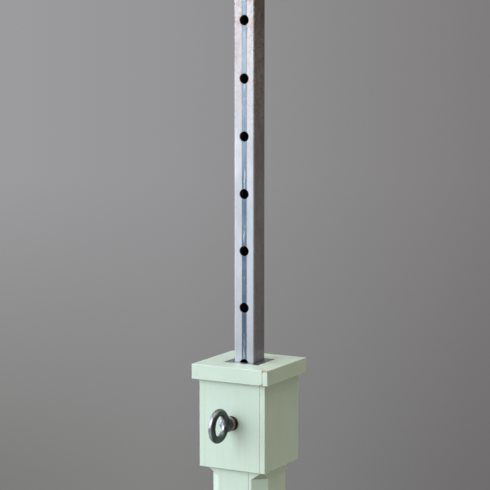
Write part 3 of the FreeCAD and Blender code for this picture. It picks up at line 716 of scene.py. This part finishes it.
def threaded_shank(mesh):
    """The neck, the thread and the plain point."""
    count = SHANK_STEPS
    neck = ((NECK_FRONT, NEARLY_POINTED), (NECK_FRONT, NECK_RADIUS), (NECK_BACK, NECK_RADIUS))
    rings = [circle(reach, radius, count) for reach, radius in neck]
    rows = int((THREAD_FRONT - THREAD_BACK) / (THREAD_PITCH / ROWS_PER_PITCH))
    for row in range(rows + 1):
        reach = THREAD_FRONT - row * (THREAD_FRONT - THREAD_BACK) / rows
        ring = []
        for i in range(count):
            radius = thread_radius(FACE - reach, i / count)
            angle = math.tau * i / count
            ring.append((radius * math.sin(angle), FACE - reach, radius * math.cos(angle)))
        rings.append(ring)
    rings += [circle(reach, radius, count) for reach, radius in TIP]
    add_rings(mesh, rings)


def add_ring_bolt(material):
    mesh = forged_head()
    threaded_shank(mesh)
    bmesh.ops.recalc_face_normals(mesh, faces=mesh.faces)
    seat = Matrix.Translation(Vector(BOLT_SEAT) * MM) @ Matrix.Rotation(-LEAN, 4, "X") @ Matrix.Scale(MM, 4)
    bmesh.ops.transform(mesh, matrix=seat, verts=mesh.verts)
    add_piece("forged_ring_bolt", mesh, "bolt", material, ["eye_bolt"], 45)


# --------------------------------------------------------------------------------------------------
# Weld bead round the top of the tube
# --------------------------------------------------------------------------------------------------


TUBE_HALF, TUBE_CORNER, CORNER_STEPS = 10.0, 1.5, 10
BEAD_SPACING = 0.2
BEAD_LEG, BEAD_STEPS = 3.0, 8
RIPPLE_LENGTH, RIPPLE_LAG = 1.45, 1.1


def tube_outline(spacing):
    """Points round the tube's rounded square outline, each with its outward direction."""
    points = []
    flat = 2 * (TUBE_HALF - TUBE_CORNER)
    for side in range(4):
        turn = Matrix.Rotation(side * math.pi / 2, 3, "Z")
        for i in range(int(flat / spacing)):
            along = -flat / 2 + i * spacing
            points.append((turn @ Vector((TUBE_HALF, along, 0)), turn @ Vector((1, 0, 0))))
        for i in range(CORNER_STEPS):
            angle = math.pi / 2 * i / CORNER_STEPS
            out = Vector((math.cos(angle), math.sin(angle), 0))
            centre = Vector((TUBE_HALF - TUBE_CORNER, TUBE_HALF - TUBE_CORNER, 0))
            points.append((turn @ (centre + out * TUBE_CORNER), turn @ out))
    return points


def add_weld_bead(material):
    """A fillet of overlapping ripples, laid between the tube and the underside of the top plate."""
    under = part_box("top_plate")[0].z / MM
    outline = tube_outline(BEAD_SPACING)
    mesh = bmesh.new()
    loops = []
    length = 0.0
    for i, (foot, out) in enumerate(outline):
        length += (foot - outline[i - 1][0]).length if i else 0.0
        loop = [mesh.verts.new(foot - out * 0.1 + Vector((0, 0, under - 0.01)))]
        for step in range(BEAD_STEPS + 1):
            across = step / BEAD_STEPS
            lag = RIPPLE_LAG * (2 * across - 1) ** 2
            ripple = abs(((length + lag) / RIPPLE_LENGTH) % 1.0 - 0.5)
            swell = 0.3 + 0.24 * ripple + 0.14 * noise.noise(foot / 3.0)
            bulge = swell * math.sin(math.pi * across)
            place = out * (BEAD_LEG * across * 0.97 + bulge * 0.7 - 0.05)
            drop = BEAD_LEG * (1 - across) * 0.98 + bulge * 0.7
            loop.append(mesh.verts.new(foot + place + Vector((0, 0, under - max(drop, 0.01)))))
        loops.append(loop)
    join_loops(mesh, loops)
    bmesh.ops.recalc_face_normals(mesh, faces=mesh.faces)
    bmesh.ops.transform(mesh, matrix=Matrix.Scale(MM, 4), verts=mesh.verts)
    add_piece("weld_bead", mesh, "tube", material, ["top_weld"])


# --------------------------------------------------------------------------------------------------
# Metal pieces, and the CAD nodes that are shown as they are
# --------------------------------------------------------------------------------------------------


def finish_node(node, material):
    """Gives a CAD node its material."""
    data = NODES[node].data
    data.materials.clear()
    data.materials.append(material)


STRIPE_HALF = 2.25
# How far above the head the tube's stain begins.
STAIN_RISE = 150
PLATE_EDGE = 0.6 * MM
GUIDE_EDGE = 0.3 * MM
TUBE_EDGE = 0.25 * MM
INSERT_EDGE = 0.25 * MM
WASHER_EDGE = 0.2 * MM
ROUND_PART_FOLD = 45

PLATE = galvanised_plate("hot_dip_zinc")
BRIGHT = worn_metal(
    "bright_zinc",
    main=srgb(176, 178, 180),
    second=srgb(150, 152, 156),
    rust=srgb(120, 84, 52),
    metallic=0.9,
    rough=0.28,
    rust_share=0.0,
)
DRAWN = galvanised_tube("drawn_zinc_tube", STRIPE_HALF, HEAD_TOP + STAIN_RISE)
softened_node("inner_tube", "zinc_tube", "tube", DRAWN, TUBE_EDGE, 2)
softened_node("foot_plate", "zinc_foot_plate", "post", PLATE, PLATE_EDGE)
softened_node("top_plate", "zinc_top_plate", "tube", PLATE, PLATE_EDGE)
RUBBED = rubbed_steel("rubbed_steel")
softened_node("guide_plate", "rubbed_guide_plate", "post", RUBBED, GUIDE_EDGE, 2)
finish_node("foot_plug", bare_wood("sawn_wood"))
finish_node("tube_glide", moulded_plastic("black_plastic"))
for fastener in ("foot_screws", "head_pins", "collar_pins", "glide_pin"):
    finish_node(fastener, BRIGHT)
RUSTY = worn_metal(
    "rusty_insert",
    main=srgb(58, 46, 36),
    second=srgb(84, 64, 48),
    rust=srgb(128, 56, 28),
    metallic=0.6,
    rough=0.45,
    rust_share=0.45,
)
softened_node("threaded_insert", "rusty_threaded_insert", "post", RUSTY, INSERT_EDGE, 2,
              ROUND_PART_FOLD)
GREY = worn_metal(
    "grey_washer",
    main=srgb(132, 132, 136),
    second=srgb(98, 98, 100),
    rust=srgb(92, 62, 40),
    metallic=0.9,
    rough=0.34,
    rust_share=0.12,
)
softened_node("lock_washer", "worn_washer", "washer", GREY, WASHER_EDGE, 2, ROUND_PART_FOLD)
add_ring_bolt(forged_steel("forged_steel"))
WELDED = worn_metal(
    "weld_zinc",
    main=srgb(150, 150, 154),
    second=srgb(118, 118, 120),
    rust=srgb(110, 76, 50),
    metallic=0.85,
    rough=0.4,
    rust_share=0.08,
)
add_weld_bead(WELDED)

# --------------------------------------------------------------------------------------------------
# Stage, lights and camera
# --------------------------------------------------------------------------------------------------

FLOOR_RADIUS, FLOOR_SEGMENTS = 1.2, 128
FLOOR_TONE, FLOOR_ROUGHNESS = (0.62, 0.62, 0.61, 1), 0.8


def add_floor():
    mesh = bmesh.new()
    bmesh.ops.create_circle(mesh, cap_ends=True, segments=FLOOR_SEGMENTS, radius=FLOOR_RADIUS)
    data = bpy.data.meshes.new("floor")
    mesh.to_mesh(data)
    mesh.free()
    floor = bpy.data.objects.new("floor", data)
    bpy.context.scene.collection.objects.link(floor)
    material = bpy.data.materials.new("pale_floor")
    material.use_nodes = True
    shader = material.node_tree.nodes["Principled BSDF"]
    shader.inputs["Base Color"].default_value = FLOOR_TONE
    shader.inputs["Roughness"].default_value = FLOOR_ROUGHNESS
    data.materials.append(material)


# Wall tones by the X of the direction, for directions that are level or rise and for those that fall.
# The first gives way to the second between the two values of Z in WALL_TURN.
WALL_HIGH = (
    (-1.0, (176, 178, 184)),
    (-0.589, (156, 156, 158)),
    (-0.505, (149, 149, 151)),
    (-0.425, (138, 137, 138)),
    (-0.353, (128, 125, 126)),
    (-0.31, (122, 119, 120)),
    (0.3, (112, 108, 96)),
    (1.0, (138, 130, 93)),
)
WALL_LOW = (
    (-1.0, (120, 120, 118)),
    (-0.589, (124, 124, 122)),
    (-0.505, (131, 131, 130)),
    (-0.425, (125, 125, 125)),
    (-0.353, (113, 111, 112)),
    (-0.31, (108, 106, 106)),
    (0.3, (86, 84, 78)),
    (1.0, (100, 98, 84)),
)
WALL_TURN = (-0.08, -0.25)


def add_world():
    """A plain grey room, lighter to the left, yellowish at the far right and darker towards the floor."""
    world = bpy.data.worlds.new("studio")
    bpy.context.scene.world = world
    world.use_nodes = True
    tree = world.node_tree
    where = tree.nodes.new("ShaderNodeTexCoord")
    split = tree.nodes.new("ShaderNodeSeparateXYZ")
    tree.links.new(where.outputs["Generated"], split.inputs[0])
    tones = []
    for stops in (WALL_HIGH, WALL_LOW):
        spread = tree.nodes.new("ShaderNodeMapRange")
        spread.inputs["From Min"].default_value = -1
        spread.inputs["From Max"].default_value = 1
        ramp = tree.nodes.new("ShaderNodeValToRGB")
        tree.links.new(split.outputs["X"], spread.inputs["Value"])
        tree.links.new(spread.outputs[0], ramp.inputs["Fac"])
        elements = ramp.color_ramp.elements
        while len(elements) < len(stops):
            elements.new(0.5)
        for element, (x, tone) in zip(elements, stops):
            element.position = (x + 1) / 2
            element.color = srgb(*tone)
        tones.append(ramp.outputs["Color"])
    sink = tree.nodes.new("ShaderNodeMapRange")
    sink.inputs["From Min"].default_value, sink.inputs["From Max"].default_value = WALL_TURN
    tree.links.new(split.outputs["Z"], sink.inputs["Value"])
    mixed = tree.nodes.new("ShaderNodeMix")
    mixed.data_type = "RGBA"
    tree.links.new(sink.outputs[0], mixed.inputs[0])
    tree.links.new(tones[0], mixed.inputs[6])
    tree.links.new(tones[1], mixed.inputs[7])
    tree.links.new(mixed.outputs[2], tree.nodes["Background"].inputs["Color"])


def add_softbox(name, place, aim, size, power, colour):
    """A rectangular lamp that faces aim, with its width and height in metres and its power in watts."""
    lamp = bpy.data.lights.new(name, "AREA")
    lamp.shape = "RECTANGLE"
    lamp.size, lamp.size_y = size
    lamp.energy = power
    lamp.color = colour
    holder = bpy.data.objects.new(name, lamp)
    bpy.context.scene.collection.objects.link(holder)
    holder.location = place
    holder.rotation_euler = (Vector(aim) - Vector(place)).to_track_quat("-Z", "Y").to_euler()


AIM = (0.0, 0.0, HEAD_TOP * MM)


def add_camera():
    """The camera stands to the right of the front, above the head, and looks slightly down."""
    turn = math.radians(28.381)
    tilt = math.radians(6.831)
    distance = 1.5343
    sideways = -0.003971
    above_head = 0.10281
    right = Vector((math.cos(turn), math.sin(turn), 0))
    away = Vector((math.sin(turn) * math.cos(tilt), -math.cos(turn) * math.cos(tilt), math.sin(tilt)))
    target = Vector(AIM) + Vector((0, 0, above_head)) + right * sideways
    camera = bpy.data.cameras.new("camera")
    camera.sensor_width = 36.0
    camera.lens = 128.51
    holder = bpy.data.objects.new("camera", camera)
    bpy.context.scene.collection.objects.link(holder)
    holder.location = target + away * distance
    holder.rotation_euler = (math.pi / 2 - tilt, 0, turn)
    bpy.context.scene.camera = holder


add_floor()
add_world()
add_softbox("key", (-1.2, -2.2, 2.2), AIM, (2.0, 2.0), 39, (0.84, 0.99, 1.0))
add_softbox("pale_wall", (-1.7, -2.3, 1.25), AIM, (3.8, 2.4), 46.5, (0.94, 0.98, 1.0))
add_softbox("window", (-2.3, -0.3, 1.1), AIM, (1.6, 2.6), 29, (1.0, 0.93, 1.0))
add_softbox("overhead", (0.2, 0.1, 2.6), AIM, (2.4, 2.4), 31, (1.0, 0.95, 0.88))
add_softbox("fill", (1.3, -2.2, 1.0), AIM, (3.0, 3.0), 6, (0.97, 1.0, 0.93))
add_camera()
bpy.context.scene.view_settings.view_transform = "Standard"
